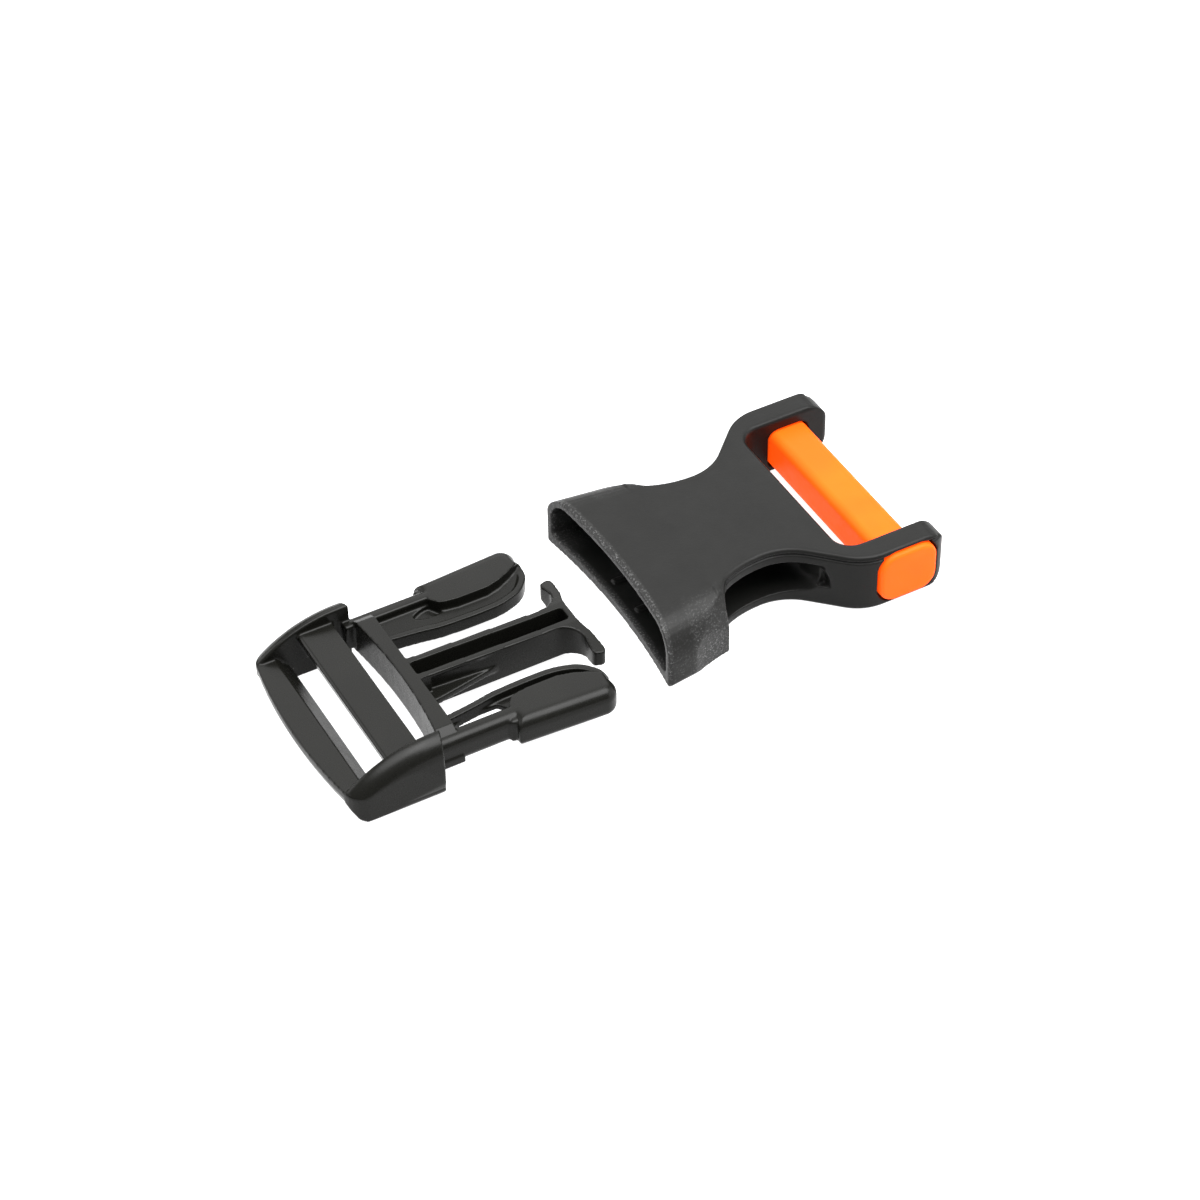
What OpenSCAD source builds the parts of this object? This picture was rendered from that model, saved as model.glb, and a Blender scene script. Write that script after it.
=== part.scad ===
// Side release buckle for flat webbing, lying open: a socket with a slide-in
// strap bar, and a plug with a guide tongue and two springy latch arms.
// The socket's mouth corners are at s = 0 and its ears point to +X. The plug's
// shoulders are at u = 0, its arms point to +X and its ladder frame to -X.

/* [Whole buckle] */
// Height of both halves at the joint line
body_h = 9.2; // [8.8:0.1:9.8]
// Distance from the plug's shoulders to the socket's mouth, as they lie apart
lie_gap = 33; // [30:1:60]
// Sideways offset of the plug from the socket's axis, as they lie apart
lie_shift = -3.8; // [-6:0.2:6]
// Running clearance between pieces
gap = 0.3; // [0.2:0.05:0.4]

/* [Socket] */
// Length from the mouth's corners to the ends of the ears
socket_len = 42; // [41:0.5:46]
// Width across the mouth
mouth_w = 32.8; // [32:0.2:34]
// Width across the waist, where the latch arms show
waist_w = 17.8; // [17:0.2:19]
// Width across the ears
ear_w = 33.6; // [33:0.2:35]
// Free width between the ears, for the webbing
strap_w = 27; // [26:0.5:27]
// Thickness of the bottom plate
floor_t = 1.5; // [1.2:0.1:1.6]
// Thickness of the top plate over the pocket
roof_t = 2.3; // [2:0.1:2.4]
// Depth that the mouth's rim is set back at the middle
rim_set = 2; // [1:0.2:2.4]
// Distance from the mouth to the rear faces of the cheeks, which the arms catch
cheek_len = 10.7; // [10:0.1:11]

/* [Strap bar] */
// Length of the bar's section along the buckle
bar_l = 5.6; // [5:0.2:6]
// Height of the bar's section
bar_h = 6.6; // [6:0.1:7]
// Length of the bar's head along the buckle
head_l = 9.4; // [9:0.2:9.6]
// Height of the bar's head
head_h = 7.6; // [7.4:0.1:7.8]
// How far the head stands out of the ear
head_proud = 0.5; // [0.3:0.1:0.8]

/* [Plug] */
// Length of the ladder frame behind the shoulders
frame_len = 14.4; // [14:0.2:16]
// Width across the shoulders
shoulder_w = 32; // [31.6:0.2:32.6]
// Free width of the webbing slots
slot_w = 26; // [25.5:0.25:26]
// Height of the arms' and tongue's middle plane
mid_z = 4.5; // [4.4:0.1:4.7]
// Distance from the shoulders to the front of the tongue
tongue_len = 26.3; // [25.5:0.1:26.3]
// Width of the tongue
tongue_w = 4.2; // [4:0.1:4.4]
// Width across the arms of the tongue's head
tee_w = 16.6; // [15:0.2:16.6]
// Distance from the shoulders to the front of the latch arms
arm_len = 24.4; // [24:0.1:24.4]
// Width across the thumb pads at the front
pad_w = 32.2; // [31.4:0.2:32.6]

/* [Hidden] */
$fn = 48;
eps = 0.01;
big = 60;

// Where the two halves lie: the box round everything is centred on the origin
box_x = [-lie_gap - frame_len, socket_len];
box_y = [lie_shift - pad_w / 2, ear_w / 2];
centre_x = (box_x[0] + box_x[1]) / 2;
centre_y = (box_y[0] + box_y[1]) / 2;

// Socket sizes worked out from the above
mouth_y = mouth_w / 2;
waist_y = waist_w / 2;
ear_y = ear_w / 2;
strap_y = strap_w / 2;
roof_z = body_h - roof_t;
knee_s = 4.8;
knee_y = mouth_y - 0.5;
cheek_y = mouth_y - 2.4;
cheek_in = cheek_y - 1.2;
mouth_in = mouth_y - 1.2;
shoulder_r = 3.5;
foot_r = 1.2;
facet = [[4.2, 13.5], [11.3, 10.4]];
facet_slope = 41;
waist_s = 19;
rim_y = 15;
rim_r = (rim_y * rim_y + rim_set * rim_set) / (2 * rim_set);
waist_front_y = waist_y + 1.9;
waist_front_r = (pow(waist_s - cheek_len, 2) + 1.9 * 1.9) / (2 * 1.9);
flare_r = 8;
ear_start_s = 33.1;
slot_s = 28.3;
slot_r = 2;
ear_r = 2.4;
pocket_s = 26.9;
window_s = 25.2;
window_y = 9.2;
window_top_s = 27.2;
guide_h = 0.35;

// Strap bar sizes worked out from the above
bar_s = 36.3;
bar_z = 4.8;
bar_r = 1.5;
head_r = 2;
head_z = 4.65;
head_t = 2.2;
seat_y = ear_y - head_t;
bar_end_y = strap_y + 1.9;

// Plug sizes worked out from the above
slot_y = slot_w / 2;
shoulder_y = shoulder_w / 2;
frame_z = [2.2, 7.2];
end_bar_z = [1.9, 4.5];
end_bar_in = 8.4;
end_bar_top = 10.7;
mid_bar_z = [3, 7.2];
mid_bar_u = [-6.5, -2.4];
fall_u = -1;
fall_r = 22;
cross_u = 3.1;
cross_mid = 1.3;
cross_end = -0.2;
cross_r = (slot_y * slot_y + pow(cross_mid - cross_end, 2)) / (2 * (cross_mid - cross_end));
end_sag = 1;
corner_y = 12.5;
end_r = (corner_y * corner_y + end_sag * end_sag) / (2 * end_sag);
tongue_y = tongue_w / 2;
tongue_root_z = 7.2;
tongue_tip_z = 6.6;
channel_w = 2;
tee_y = tee_w / 2;
tee_tip_h = 2;
tee_t = 1.4;

// Latch arm sizes worked out from the above
arm_z = [2.2, 6.6];
arm_u = cross_u + gap;
beam_y = [11.4, 13.7];
beam_u = 12;
pad_rear_u = 10.3;
pad_y = pad_w / 2;
pad_flare = 1.1;
rib_z = [3.4, 5.6];
web_z = [3.4, 4.3];
rib_t = 1.1;
web_slot_y = [9.8, 11.4];
pad_round = 1.4;

// Points on an arc round [x, y], from angle a to angle b
function arc(x, y, r, a, b, n = 8) =
    [for (i = [0:n]) [x + r * cos(a + (b - a) * i / n), y + r * sin(a + (b - a) * i / n)]];

// An outline given on its +Y side only, closed by its mirror image
function mirrored(half) =
    concat(half, [for (i = [len(half) - 1:-1:0]) if (half[i][1] > 0) [half[i][0], -half[i][1]]]);

// A plate with the given outline between two heights
module slab(outline, z0, z1) {
    translate([0, 0, z0]) linear_extrude(height = z1 - z0) polygon(outline);
}

// A bar along X whose section [y, z] is given
module along_x(section, x0, x1) {
    translate([x0, 0, 0]) rotate([90, 0, 90]) linear_extrude(height = x1 - x0) polygon(section);
}

// A bar along Y whose section [x, z] is given, centred on the XZ plane
module along_y(section, width) {
    rotate([90, 0, 0]) linear_extrude(height = width, center = true) polygon(section);
}

// A rectangle with rounded corners
function rounded(x0, y0, x1, y1, r) = concat(
    arc(x1 - r, y1 - r, r, 0, 90, 6), arc(x0 + r, y1 - r, r, 90, 180, 6),
    arc(x0 + r, y0 + r, r, 180, 270, 6), arc(x1 - r, y0 + r, r, 270, 360, 6));

// The same shape on both sides of the XZ plane
module both_sides() {
    children();
    mirror([0, 1, 0]) children();
}

// Socket: outline of the waist and the ears, +Y side
function waist_outline() = concat(
    [[cheek_len - 2, waist_front_y - 0.5]],
    arc(waist_s, waist_y + waist_front_r, waist_front_r,
        270 - asin((waist_s - cheek_len) / waist_front_r), 270, 6),
    arc(waist_s, waist_y + flare_r, flare_r, 270, 315, 6),
    arc(ear_start_s, ear_y - 7, 7, 135, 90, 6),
    arc(socket_len - ear_r, ear_y - ear_r, ear_r, 90, 0, 6),
    arc(socket_len - 1, strap_y + 1, 1, 0, -90, 4),
    arc(slot_s + slot_r, strap_y - slot_r, slot_r, 90, 180, 6));

// Socket: outline of the cheeks, +Y side
cheek_outline = [[-1, mouth_y], [0.8, mouth_y], [knee_s, knee_y], [cheek_len, cheek_y],
    [cheek_len, 0], [-1, 0]];

// Socket: everything to the inside of a rounded shoulder that runs along +X at y = 0
module shoulder_side() {
    along_x(concat([[-big, foot_r], [-big, 0]], arc(-foot_r, foot_r, foot_r, 270, 360, 4),
        arc(-shoulder_r, body_h - shoulder_r, shoulder_r, 0, 90), [[-big, body_h]]), -big, big);
}

// Socket: everything under a facet that slopes down from the line facet[0] to facet[1]
module thumb_side() {
    translate([facet[0][0], facet[0][1], body_h])
        rotate(atan2(facet[1][1] - facet[0][1], facet[1][0] - facet[0][0]))
            rotate([-facet_slope, 0, 0])
                translate([-big, -big, -2 * big]) cube(2 * big);
}

// Socket: the rounded block round the mouth, whose rear corners are cut for the thumb
module cheeks() {
    both_sides() intersection() {
        slab(cheek_outline, 0, body_h);
        translate([0.8, mouth_y, 0])
            rotate(atan2(knee_y - mouth_y, knee_s - 0.8)) shoulder_side();
        thumb_side();
    }
}

// Socket: the pocket for the tongue and arms, open at the mouth and at both windows
pocket_outline = mirrored([[-3, mouth_in], [0, mouth_in], [knee_s, knee_y - 1.3],
    [cheek_len, cheek_in], [cheek_len, big / 2], [window_top_s, big / 2],
    [window_top_s, ear_y - 2.6], [window_s + 0.5, window_y + 1.6], [window_s, window_y],
    [pocket_s - 0.4, window_y], [pocket_s, window_y - 0.4]]);

// Socket: the mouth's wedge, which leads the tongue in under the roof
module mouth_lead() {
    along_y([[-3, floor_t], [6, floor_t], [6, roof_z], [3, roof_z + 0.7], [-3, roof_z + 0.7]],
        2 * mouth_in - 1.4);
}

// Socket: low guide ridges that the tongue slides between, on the floor and under the roof
module guides() {
    both_sides() {
        translate([3, tongue_y + 0.7, floor_t - eps]) cube([19, 0.8, guide_h + eps]);
        translate([3, tongue_y + 0.9, roof_z - guide_h]) cube([19, 0.8, 1]);
    }
}

// The bar's section, or the hole round it when grown
function bar_section(grow) = rounded(bar_s - bar_l / 2 - grow, bar_z - bar_h / 2 - grow,
    bar_s + bar_l / 2 + grow, bar_z + bar_h / 2 + grow, bar_r + grow);

// The head's section, or its seat when grown
function head_section(grow) = rounded(bar_s - head_l / 2 - grow, head_z - head_h / 2 - grow,
    bar_s + head_l / 2 + grow, head_z + head_h / 2 + grow, head_r + grow);

// A prism along Y with section [x, z], from one y to another
module across(section, y0, y1) {
    translate([0, y1, 0]) rotate([90, 0, 0]) linear_extrude(height = y1 - y0) polygon(section);
}

module socket() {
    color("#3c3c3e") difference() {
        union() {
            cheeks();
            slab(mirrored(waist_outline()), 0, body_h);
        }
        translate([rim_set - rim_r, 0, -1]) cylinder(r = rim_r, h = body_h + 2, $fn = 240);
        difference() {
            union() {
                slab(pocket_outline, floor_t, roof_z);
                mouth_lead();
            }
            guides();
        }
        across(bar_section(gap), -ear_y - 1, bar_end_y + gap);
        across(head_section(gap), -ear_y - 1, -seat_y);
        // rounded tops and bottoms of the ears' rear ends
        difference() {
            translate([socket_len - ear_r, -big, -1]) cube([ear_r + 1, 2 * big, body_h + 2]);
            along_y(rounded(0, 0, socket_len, body_h, ear_r - 0.6), 2 * big + 2);
        }
    }
}

module strap_bar() {
    color("#ff8a30") union() {
        across(bar_section(0), -ear_y, bar_end_y);
        across(head_section(0), -ear_y - head_proud, -seat_y - gap);
    }
}

// Plug: outline of the ladder frame, +Y side, with its shoulders along the mouth's rim
function frame_outline() = concat(
    arc(rim_set - rim_r - gap, 0, rim_r, asin(slot_y / rim_r), asin(shoulder_y / rim_r), 3),
    [[-9, shoulder_y - 0.4]],
    arc(-frame_len + end_sag + 3, shoulder_y - 3.5, 3, 90, 165, 5),
    arc(end_r - frame_len, 0, end_r, 180 - asin(corner_y / end_r), 180, 6));

// Plug: lower part of a rail's section, [y, z] on the +Y side
rail_foot = [[slot_y, 0], [shoulder_y - 1.5, 0], [shoulder_y - 0.9, 0.6],
    [shoulder_y - 0.2, 3.6], [shoulder_y, 5], [shoulder_y, body_h], [slot_y, body_h]];

// Plug: upper part of a rail's section, [y, z] on the +Y side
rail_crown = concat([[slot_y - 1, -3], [shoulder_y + 1, -3], [shoulder_y + 1, body_h - 1.7],
    [shoulder_y, body_h - 1.7]], arc(shoulder_y - 1.7, body_h - 1.7, 1.7, 15, 90, 5),
    [[slot_y + 0.7, body_h - 0.1], [slot_y, body_h - 0.7], [slot_y - 1, body_h - 0.7]]);

// Plug: side view of the rails' ends, which are cut up to the end bar
rail_side = [[4, 0], [-frame_len + 2.6, 0], [-frame_len + 1, end_bar_z[0] - 0.6],
    [-frame_len - 1, end_bar_z[0] + 0.2], [-frame_len - 1, end_bar_z[1] + 0.2],
    [-frame_len + 0.4, 5.3], [-frame_len + 1.6, body_h], [4, body_h]];

// Plug: the two rails, whose tops fall in an arc from the shoulders to the end bar
module rails() {
    both_sides() intersection() {
        slab(mirrored(frame_outline()), 0, body_h);
        along_x(rail_foot, -big, big);
        along_y(rail_side, 2 * big);
        union() {
            along_x(rail_crown, fall_u, big);
            translate([fall_u, 0, body_h - fall_r]) rotate([90, 0, 0]) rotate([0, 0, 90])
                rotate_extrude(angle = 45, $fn = 180)
                    polygon([for (p = rail_crown) [p[1] - body_h + fall_r, -p[0]]]);
        }
    }
}

// Plug: the three bars, between the rails
module bars() {
    intersection() {
        slab(mirrored(frame_outline()), 0, body_h);
        union() {
            along_y([[-frame_len, end_bar_z[0] + 0.5], [-frame_len + 0.9, end_bar_z[0]],
                [-end_bar_in, end_bar_z[0]], [-end_bar_top, end_bar_z[1]],
                [-frame_len, end_bar_z[1]]], 2 * slot_y + 2);
            along_y(concat([[mid_bar_u[1] - 0.6, mid_bar_z[0]], [mid_bar_u[1], mid_bar_z[0] + 1],
                [mid_bar_u[1], mid_bar_z[1]], [mid_bar_u[0] + 1.4, mid_bar_z[1]]],
                arc(mid_bar_u[0] + 1.4, mid_bar_z[1] - 1.4, 1.4, 90, 180, 4),
                [[mid_bar_u[0] + 0.6, mid_bar_z[0]]]), 2 * slot_y + 2);
        }
    }
    difference() {
        slab(mirrored([[cross_end, 0], [cross_end, beam_y[1]], [cross_u, beam_y[1]]]),
            frame_z[0], frame_z[1]);
        translate([cross_mid - cross_r, 0, 0]) cylinder(r = cross_r, h = body_h, $fn = 240);
    }
}

// Plug: side view of the tongue, whose top falls towards its tip
tongue_side = [[cross_u - 1, frame_z[0]], [tongue_len - 1, frame_z[0]],
    [tongue_len - 1, tongue_tip_z], [cross_u + 1, tongue_root_z], [cross_u - 1, tongue_root_z]];

// Plug: outline of the tongue's head, +Y side, filleted into the tongue
tee_outline = concat([[tongue_len - 6, 0], [tongue_len - 6, tongue_y]],
    arc(tongue_len - tee_t - 3.1, tongue_y + 3, 3, 270, 360, 6),
    [[tongue_len - tee_t, tee_y - 0.8], [tongue_len - tee_t + 0.4, tee_y]],
    arc(tongue_len - 0.8, tee_y - 0.8, 0.8, 90, 0, 4),
    [[tongue_len, tongue_y + 2], [tongue_len - 0.4, tongue_y + 1],
    [tongue_len - 1, tongue_y + 0.3], [tongue_len - 1, 0]]);

// Plug: the guide tongue with its channel, head and root gussets
module tongue() {
    difference() {
        union() {
            along_y(tongue_side, tongue_w);
            both_sides() slab([[cross_u - 1, 0], [cross_u - 1, tongue_y + 1.5],
                [cross_u, tongue_y + 1.5], [14, tongue_y], [14, 0]], frame_z[0], 5);
            intersection() {
                slab(mirrored(tee_outline), frame_z[0], tongue_tip_z + 0.15);
                along_x(tee_section(), 0, big);
            }
        }
        slab(rounded(cross_u + 1.2, -channel_w / 2, tongue_len - 2.4, channel_w / 2, 0.5),
            frame_z[0] + 1, body_h);
    }
}

// Plug: section of the tongue's head, [y, z], which thins towards its tips
function tee_section() = [
    [tongue_y, frame_z[0]], [tee_y + 0.1, mid_z - tee_tip_h / 2],
    [tee_y + 0.1, mid_z + tee_tip_h / 2], [tongue_y, tongue_tip_z + 0.15],
    [-tongue_y, tongue_tip_z + 0.15], [-tee_y - 0.1, mid_z + tee_tip_h / 2],
    [-tee_y - 0.1, mid_z - tee_tip_h / 2], [-tongue_y, frame_z[0]]];

module plug() {
    color("#1c1c1e") translate([-lie_gap, lie_shift, 0]) union() {
        rails();
        bars();
        tongue();
    }
}

// Latch arm: the thin inner rib, [u, y] of its inner edge from root to nose
rib_edge = [[arm_u, 8.4], [5.5, 7.9], [7.2, 7.5], [8.8, 7.1], [10.4, 6.85], [12.5, 6.65],
    [16, 6.65], [17.7, 6.8], [19.2, 7.15], [20.6, 7.7], [21.9, 8.4], [23.1, 9.3],
    [24, 10.3], [arm_len, 11.4]];

// Latch arm: the pad's outline
pad_outline = concat([[12.4, 9.5], [14.5, 9.15], [16.5, 9.1], [18.5, 9.4], [20.5, 10],
    [22.3, 10.8], [23.6, 10.4], [24, 10.6]],
    arc(arm_len - 1, 11.8, 1, 0, -10, 2),
    arc(arm_len - 1.6, pad_y - 1.6, 1.6, 0, 80, 5),
    [[pad_rear_u, pad_y - pad_flare]]);

// Latch arm: section of its rounded outer side, [y, z]
module arm_side(y) {
    along_x(concat([[-big, arm_z[0]]],
        arc(y - pad_round, arm_z[0] + pad_round, pad_round, 270, 360, 4),
        arc(y - pad_round, arm_z[1] - pad_round, pad_round, 0, 90, 4),
        [[-big, arm_z[1]]]), -big, big);
}

// Latch arm on the +Y side: beam, pad, web and rib, with a slot beside the beam
module latch_arm() {
    intersection() {
        slab([[arm_u, beam_y[0]], [beam_u, beam_y[0]], [beam_u, beam_y[1]],
            [arm_u, beam_y[1]]], arm_z[0], arm_z[1]);
        arm_side(beam_y[1]);
    }
    intersection() {
        slab(pad_outline, arm_z[0], arm_z[1]);
        translate([pad_rear_u, pad_y - pad_flare, 0])
            rotate(atan2(pad_flare, arm_len - pad_rear_u)) arm_side(0);
    }
    difference() {
        slab(concat(rib_edge, [[arm_len - 0.4, 12], [16, 13], [arm_u, 13]]),
            web_z[0], web_z[1]);
        slab([[arm_u - 1, web_slot_y[0]], [pad_rear_u - 1.5, web_slot_y[0]],
            [pad_rear_u, web_slot_y[1] - 0.4], [pad_rear_u, web_slot_y[1]],
            [arm_u - 1, web_slot_y[1]]], 0, body_h);
    }
    slab(concat(rib_edge, [for (i = [len(rib_edge) - 1:-1:0])
        rib_edge[i] + rib_t * rib_normal(i)]), rib_z[0], rib_z[1]);
}

// Latch arm: direction across the rib at one of its points, away from the tongue
function rib_normal(i) =
    let (a = rib_edge[max(i - 1, 0)], b = rib_edge[min(i + 1, len(rib_edge) - 1)],
        d = b - a, turn = [-d[1], d[0]] / norm(d))
    i == 0 ? [0, 1] : turn;

module latch_arm_left() {
    color("#1c1c1e") translate([-lie_gap, lie_shift, 0]) latch_arm();
}

module latch_arm_right() {
    color("#1c1c1e") translate([-lie_gap, lie_shift, 0]) mirror([0, 1, 0]) latch_arm();
}

translate([-centre_x, -centre_y, 0]) socket();
translate([-centre_x, -centre_y, 0]) strap_bar();
translate([-centre_x, -centre_y, 0]) plug();
translate([-centre_x, -centre_y, 0]) latch_arm_left();
translate([-centre_x, -centre_y, 0]) latch_arm_right();
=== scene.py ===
"""A side release buckle for flat webbing, lying open on a pale floor.

All outlines are in millimetres. The socket's are measured from its mouth corners (s, y, z), and
the plug's and its arms' from the plug's shoulders (u, y, z); both have y from the half's own axis
and z from the floor. Each half is set in its place at the end, where the frame has it.
"""
import math

import bpy
from bpy.props import FloatProperty, PointerProperty, StringProperty
from mathutils import Matrix, Vector


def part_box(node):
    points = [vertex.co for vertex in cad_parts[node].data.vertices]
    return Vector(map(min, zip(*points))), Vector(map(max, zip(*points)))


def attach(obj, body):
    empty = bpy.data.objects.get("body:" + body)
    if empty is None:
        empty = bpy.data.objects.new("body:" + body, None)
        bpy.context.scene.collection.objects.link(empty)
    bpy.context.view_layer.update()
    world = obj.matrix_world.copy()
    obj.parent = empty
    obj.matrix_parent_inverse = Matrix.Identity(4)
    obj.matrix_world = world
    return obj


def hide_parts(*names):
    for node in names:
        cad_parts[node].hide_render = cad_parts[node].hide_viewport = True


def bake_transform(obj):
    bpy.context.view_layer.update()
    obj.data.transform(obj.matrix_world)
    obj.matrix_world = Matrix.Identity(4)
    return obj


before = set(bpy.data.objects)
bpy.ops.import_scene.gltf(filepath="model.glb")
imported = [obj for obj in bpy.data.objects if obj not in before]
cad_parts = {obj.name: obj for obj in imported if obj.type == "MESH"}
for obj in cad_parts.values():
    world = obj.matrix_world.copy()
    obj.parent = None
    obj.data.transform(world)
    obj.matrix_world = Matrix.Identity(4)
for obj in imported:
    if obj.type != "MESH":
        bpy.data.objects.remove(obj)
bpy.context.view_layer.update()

bl_info = {
    "name": "Side Release Buckle",
    "version": (1, 0, 0),
    "blender": (4, 5, 0),
    "location": "3D View > Sidebar > Buckle",
    "description": "Models a moulded side release buckle and its studio",
    "category": "Mesh",
}

MM = 0.001

# Boxes of the frame's solids, in metres
SOCKET_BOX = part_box("socket")
PLUG_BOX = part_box("plug")

# Lengths of the plain solids, which place the mouth's corners and the plug's shoulders
SOCKET_LENGTH = 42.0 * MM
FRAME_LENGTH = 14.4 * MM

# Arcs in plan: the mouth's rim, which lies behind its corners on the axis, and the plug's rear end
RIM_RADIUS = 110.0
RIM_HOLLOW = 1.5
REAR_RADIUS = 78.6

# Back of the cheeks, and the height at which the plug's rails are widest
CHEEK_BACK = 10.65
RAIL_BELLY = 2.9

# Strap bar: middles of its section and its head, seen from the side, and how it sits in the ears
BAR_MIDDLE = (36.5, 3.95)
HEAD_MIDDLE = (36.4, 4.55)
HEAD_CORNER = 2.5
HEAD_DEPTH = 1.9
POCKET_DEPTH = 1.9
BAR_GAP = 0.3

# Two corners of an outline closer than this are one
SAME_CORNER = 0.02

# Soft boxes: the way to each, the cosines at which it starts and is full, and its strength
SOFT_BOXES = (
    # Overhead, a little to the right
    ((0.34, -0.27, 0.90), 0.87, 0.975, 13.0),
    # Behind, high up
    ((0.34, 0.65, 0.70), 0.78, 0.975, 2.9),
    # Overhead, a little to the left
    ((-0.22, -0.12, 0.97), 0.90, 0.985, 10.0),
    # Behind on the left, low down
    ((-0.68, 0.65, 0.34), 0.85, 0.98, 4.0),
    # On the right, low down
    ((0.88, -0.42, 0.15), 0.75, 0.95, 2.6),
)


def length(name, description, default_mm):
    """A size that a user would change, in metres."""
    return FloatProperty(name=name, description=description, default=default_mm * MM,
                         min=0.0, unit="LENGTH", precision=5)


def colour(name, description, default):
    """A colour that a user would change, as an sRGB hex value."""
    return StringProperty(name=name, description=description, default=default)


class SocketSizes(bpy.types.PropertyGroup):
    """Sizes of the socket half"""
    body_length: length("Length", "From the mouth's corners to the ears' ends", 43.0)
    body_height: length("Height", "From the floor to the top plate's face", 9.2)
    mouth_width: length("Mouth width", "Across the mouth", 33.9)
    waist_width: length("Waist width", "Across the waist", 18.8)
    ear_width: length("Ear width", "Across the ears", 34.5)
    strap_width: length("Strap width", "Free width between the ears", 27.0)
    floor_thickness: length("Floor thickness", "Of the bottom plate", 1.5)
    roof_thickness: length("Roof thickness", "Of the top plate over the pocket", 2.3)


class BarSizes(bpy.types.PropertyGroup):
    """Sizes of the strap bar"""
    bar_length: length("Section length", "Of the bar's section, along the buckle", 5.8)
    bar_height: length("Section height", "Of the bar's section", 6.1)
    head_length: length("Head length", "Of the bar's head, along the buckle", 8.7)
    head_height: length("Head height", "Of the bar's head", 7.8)
    edge_radius: length("Edge radius", "Of the bar's long edges", 1.2)


class PlugSizes(bpy.types.PropertyGroup):
    """Sizes of the plug half"""
    frame_length: length("Frame length", "Of the ladder frame behind the shoulders", 14.4)
    shoulder_width: length("Shoulder width", "Across the shoulders", 32.0)
    slot_width: length("Slot width", "Free width of the webbing slots", 26.0)
    tongue_length: length("Tongue length", "From the shoulders to the tongue's front", 27.0)
    tongue_width: length("Tongue width", "Across the tongue", 4.2)
    tee_width: length("Head width", "Across the arms of the tongue's head", 15.9)
    arm_length: length("Arm length", "From the shoulders to the arms' front", 25.0)
    pad_width: length("Pad width", "Across both thumb pads", 32.2)


class Finishes(bpy.types.PropertyGroup):
    """Colours of the mouldings and of the floor, and the mould's grain"""
    socket_colour: colour("Socket", "Dark grey acetal", "#0d0d0c")
    plug_colour: colour("Plug", "Black acetal", "#0c0c0a")
    bar_colour: colour("Strap bar", "Orange acetal", "#f04a0a")
    floor_colour: colour("Floor", "Pale studio floor", "#ffffff")
    grain: length("Grain", "Grain width of the spark-eroded mould", 0.22)


def linear(code):
    """The linear colour of an sRGB hex value."""
    parts = [int(code[i:i + 2], 16) / 255 for i in (1, 3, 5)]
    return [p / 12.92 if p <= 0.04045 else ((p + 0.055) / 1.055) ** 2.4 for p in parts] + [1.0]


def arc(centre, radius, start, stop, steps=10):
    """Points of an arc round a centre, from one angle to another, in degrees."""
    turns = [math.radians(start + (stop - start) * i / steps) for i in range(steps + 1)]
    return [(centre[0] + radius * math.cos(t), centre[1] + radius * math.sin(t)) for t in turns]


def rounded(low, high, radius, steps=6):
    """Points of a rectangle with rounded corners."""
    (x0, y0), (x1, y1) = low, high
    return (arc((x1 - radius, y1 - radius), radius, 0, 90, steps)
            + arc((x0 + radius, y1 - radius), radius, 90, 180, steps)
            + arc((x0 + radius, y0 + radius), radius, 180, 270, steps)
            + arc((x1 - radius, y0 + radius), radius, 270, 360, steps))


def mirrored(half):
    """An outline given on its +y side only, closed by its mirror image."""
    return half + [(x, -y) for x, y in reversed(half) if y > 0]


def outside_corner(corner, way, radius, margin=4.0, steps=10):
    """The piece of a section that rounding a corner takes away; way points out of the corner."""
    x, z = corner
    right, up = way
    centre = (x - right * radius, z - up * radius)
    turns = [math.radians(90 * i / steps) for i in range(steps + 1)]
    bend = [(centre[0] + right * radius * math.cos(t), centre[1] + up * radius * math.sin(t))
            for t in turns]
    return bend + [(centre[0], z + up * margin), (x + right * margin, z + up * margin),
                   (x + right * margin, centre[1])]


def object_mode():
    """Leaves edit mode with nothing selected."""
    if bpy.context.object and bpy.context.object.mode != "OBJECT":
        bpy.ops.object.mode_set(mode="OBJECT")
    bpy.ops.object.select_all(action="DESELECT")


def activate(piece):
    """Makes one object the only one selected."""
    object_mode()
    piece.select_set(True)
    bpy.context.view_layer.objects.active = piece


def apply_place(piece):
    """Puts an object's place into its mesh."""
    activate(piece)
    bpy.ops.object.transform_apply(location=True, rotation=True, scale=True)


def at_level(axis, point, level):
    """A point of an outline drawn across an axis, at a level along it, in metres."""
    a, b = point
    return Vector({"X": (level, a, b), "Y": (a, level, b), "Z": (a, b, level)}[axis]) * MM


def prism(name, outline, axis, low, high):
    """Draws an outline corner by corner, fills it and extrudes it along the axis."""
    object_mode()
    corners = [at_level(axis, point, low) for point, last in zip(outline, outline[-1:] + outline)
               if math.dist(point, last) > SAME_CORNER]
    bpy.ops.mesh.primitive_plane_add(size=MM, location=corners[0])
    piece = bpy.context.object
    piece.name = name
    bpy.ops.object.mode_set(mode="EDIT")
    bpy.ops.mesh.select_mode(type="VERT")
    bpy.ops.mesh.select_all(action="SELECT")
    bpy.ops.mesh.merge(type="CENTER")
    for here, there in zip(corners, corners[1:]):
        bpy.ops.mesh.extrude_region_move(TRANSFORM_OT_translate={"value": there - here})
    bpy.ops.mesh.select_all(action="SELECT")
    bpy.ops.mesh.edge_face_add()
    rise = at_level(axis, (0, 0), high - low)
    bpy.ops.mesh.extrude_region_move(TRANSFORM_OT_translate={"value": rise})
    bpy.ops.mesh.select_all(action="SELECT")
    bpy.ops.mesh.normals_make_consistent(inside=False)
    apply_place(piece)
    return piece


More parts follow.
